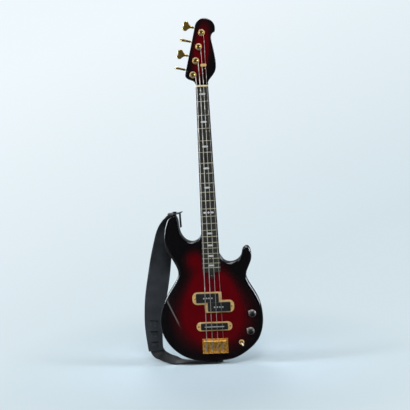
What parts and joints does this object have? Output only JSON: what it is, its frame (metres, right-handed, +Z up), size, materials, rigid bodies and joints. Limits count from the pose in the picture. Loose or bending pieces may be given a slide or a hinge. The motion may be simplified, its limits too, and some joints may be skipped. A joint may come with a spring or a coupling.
{
  "type": "electric bass guitar",
  "caption": "Solid-body electric bass guitar with a double-cutaway sunburst body, through neck, split and bar pickups, gold tuners and bridge, knobs, toggle and a shoulder strap.",
  "frame": {"origin": "Centre of the body's butt end, at half the body's thickness, where the lower strap button seats.", "axes": "+Z up the neck to the headstock, +X to the treble side seen from the front, -Y to the front."},
  "size_m": [0.4134, 0.0818, 1.1712],
  "materials": {
    "lacquered_wood": "gloss sunburst lacquer",
    "board_wood": "oiled dark hardwood",
    "pearl": "pearl inlay",
    "fret_metal": "polished nickel alloy",
    "nut_bone": "ivory-coloured",
    "gold_plate": "gold-plated",
    "string_steel": "wound steel",
    "steel": "plain steel",
    "black_gloss": "gloss black",
    "black_matte": "matt black",
    "coil": "taped winding",
    "cap_plastic": "dipped",
    "strap_web": "black woven",
    "strap_hide": "black"
  },
  "bodies": {
    "bass": {"neck_beam": "lacquered_wood", "body_wing_bass": "lacquered_wood", "body_wing_treble": "lacquered_wood", "body_horn_treble": "lacquered_wood", "fingerboard": "board_wood", "position_markers": "pearl", "frets": "fret_metal", "nut": "nut_bone", "truss_rod": "steel", "truss_rod_cover": "black_gloss", "tuner_plates": "gold_plate", "tuner_ferrules": "gold_plate", "string_retainer": "gold_plate", "bridge_plate": "gold_plate", "saddle_springs": "steel", "pickup_rings": "gold_plate", "pickup_covers": "black_matte", "pickup_coils": "coil", "pickup_poles": "steel", "knob_washers": "fret_metal", "potentiometers": "steel", "selector_switch": "black_matte", "switch_collar": "gold_plate", "tone_capacitor": "cap_plastic", "wiring": "black_matte", "output_jack": "gold_plate", "control_cover": "black_matte", "strap_buttons": "gold_plate", "trim_screws": "gold_plate", "strap_tip": "strap_hide", "strap_belt": "strap_web", "strap_tail": "strap_hide", "string_e": "string_steel", "string_a": "string_steel", "string_d": "string_steel", "string_g": "string_steel"},
    "key_e": {"tuner_key_e": "gold_plate"},
    "post_e": {"tuner_post_e": "gold_plate", "string_wrap_e": "string_steel"},
    "key_a": {"tuner_key_a": "gold_plate"},
    "post_a": {"tuner_post_a": "gold_plate", "string_wrap_a": "string_steel"},
    "key_d": {"tuner_key_d": "gold_plate"},
    "post_d": {"tuner_post_d": "gold_plate", "string_wrap_d": "string_steel"},
    "key_g": {"tuner_key_g": "gold_plate"},
    "post_g": {"tuner_post_g": "gold_plate", "string_wrap_g": "string_steel"},
    "volume_control": {"volume_knob": "black_gloss"},
    "tone_control": {"tone_knob": "black_gloss"},
    "toggle": {"toggle_lever": "gold_plate"},
    "tone_screw_e": {"intonation_screw_e": "gold_plate"},
    "saddle_e_block": {"saddle_e": "gold_plate"},
    "tone_screw_a": {"intonation_screw_a": "gold_plate"},
    "saddle_a_block": {"saddle_a": "gold_plate"},
    "tone_screw_d": {"intonation_screw_d": "gold_plate"},
    "saddle_d_block": {"saddle_d": "gold_plate"},
    "tone_screw_g": {"intonation_screw_g": "gold_plate"},
    "saddle_g_block": {"saddle_g": "gold_plate"},
    "rod_nut": {"truss_rod_nut": "steel"}
  },
  "joints": [
    {"name": "key_e_turn", "type": "hinge", "parent": "bass", "child": "key_e", "pos_m": [-0.02555, -0.0004, 0.98762], "axis": [-0.9677, 0, 0.2521], "continuous": true},
    {"name": "post_e_turn", "type": "hinge", "parent": "bass", "child": "post_e", "pos_m": [-0.0285, -0.005, 0.9763], "axis": [0, -1, 0], "continuous": true, "deforming": ["string_e"]},
    {"name": "key_a_turn", "type": "hinge", "parent": "bass", "child": "key_a", "pos_m": [-0.01375, -0.0004, 1.03291], "axis": [-0.9677, 0, 0.2521], "continuous": true},
    {"name": "post_a_turn", "type": "hinge", "parent": "bass", "child": "post_a", "pos_m": [-0.0167, -0.005, 1.02159], "axis": [0, -1, 0], "continuous": true, "deforming": ["string_a"]},
    {"name": "key_d_turn", "type": "hinge", "parent": "bass", "child": "key_d", "pos_m": [-0.00196, -0.0004, 1.0782], "axis": [-0.9677, 0, 0.2521], "continuous": true},
    {"name": "post_d_turn", "type": "hinge", "parent": "bass", "child": "post_d", "pos_m": [-0.00491, -0.005, 1.06688], "axis": [0, -1, 0], "continuous": true, "deforming": ["string_d"]},
    {"name": "key_g_turn", "type": "hinge", "parent": "bass", "child": "key_g", "pos_m": [0.00984, -0.0004, 1.12349], "axis": [-0.9677, 0, 0.2521], "continuous": true},
    {"name": "post_g_turn", "type": "hinge", "parent": "bass", "child": "post_g", "pos_m": [0.00689, -0.005, 1.11217], "axis": [0, -1, 0], "continuous": true, "deforming": ["string_g"]},
    {"name": "volume_turn", "type": "hinge", "parent": "bass", "child": "volume_control", "pos_m": [0.131, -0.021, 0.163], "axis": [0, -1, 0], "range_deg": [-140, 140]},
    {"name": "tone_turn", "type": "hinge", "parent": "bass", "child": "tone_control", "pos_m": [0.123, -0.021, 0.102], "axis": [0, -1, 0], "range_deg": [-140, 140]},
    {"name": "toggle_throw", "type": "hinge", "parent": "bass", "child": "toggle", "pos_m": [0.09, -0.021, 0.064], "axis": [0.8192, 0, 0.5736], "range_deg": [-50, 0]},
    {"name": "tone_screw_e_turn", "type": "hinge", "parent": "bass", "child": "tone_screw_e", "pos_m": [-0.0323, -0.0295, 0.031], "axis": [0, 0, 1], "range_deg": [-2160, 2160]},
    {"name": "saddle_e_slide", "type": "slide", "parent": "bass", "child": "saddle_e_block", "axis": [0, 0, 1], "range_m": [-0.0035, 0.0035], "deforming": ["string_e", "saddle_springs"]},
    {"name": "tone_screw_a_turn", "type": "hinge", "parent": "bass", "child": "tone_screw_a", "pos_m": [-0.0133, -0.0295, 0.031], "axis": [0, 0, 1], "range_deg": [-2160, 2160]},
    {"name": "saddle_a_slide", "type": "slide", "parent": "bass", "child": "saddle_a_block", "axis": [0, 0, 1], "range_m": [-0.0035, 0.0035], "deforming": ["string_a", "saddle_springs"]},
    {"name": "tone_screw_d_turn", "type": "hinge", "parent": "bass", "child": "tone_screw_d", "pos_m": [0.0057, -0.0295, 0.031], "axis": [0, 0, 1], "range_deg": [-2160, 2160]},
    {"name": "saddle_d_slide", "type": "slide", "parent": "bass", "child": "saddle_d_block", "axis": [0, 0, 1], "range_m": [-0.0035, 0.0035], "deforming": ["string_d", "saddle_springs"]},
    {"name": "tone_screw_g_turn", "type": "hinge", "parent": "bass", "child": "tone_screw_g", "pos_m": [0.0247, -0.0295, 0.031], "axis": [0, 0, 1], "range_deg": [-2160, 2160]},
    {"name": "saddle_g_slide", "type": "slide", "parent": "bass", "child": "saddle_g_block", "axis": [0, 0, 1], "range_m": [-0.0035, 0.0035], "deforming": ["string_g", "saddle_springs"]},
    {"name": "rod_nut_turn", "type": "hinge", "parent": "bass", "child": "rod_nut", "pos_m": [0, -0.016, 0.3], "axis": [0, 0, 1], "range_deg": [-180, 180]}
  ],
  "couplings": [
    {"joint": "post_e_turn", "follows": "key_e_turn", "ratio": 0.05},
    {"joint": "post_a_turn", "follows": "key_a_turn", "ratio": 0.05},
    {"joint": "post_d_turn", "follows": "key_d_turn", "ratio": 0.05},
    {"joint": "post_g_turn", "follows": "key_g_turn", "ratio": 0.05},
    {"joint": "tone_screw_e_turn", "follows": "saddle_e_slide", "rad_per_m": 8976},
    {"joint": "tone_screw_a_turn", "follows": "saddle_a_slide", "rad_per_m": 8976},
    {"joint": "tone_screw_d_turn", "follows": "saddle_d_slide", "rad_per_m": 8976},
    {"joint": "tone_screw_g_turn", "follows": "saddle_g_slide", "rad_per_m": 8976}
  ]
}
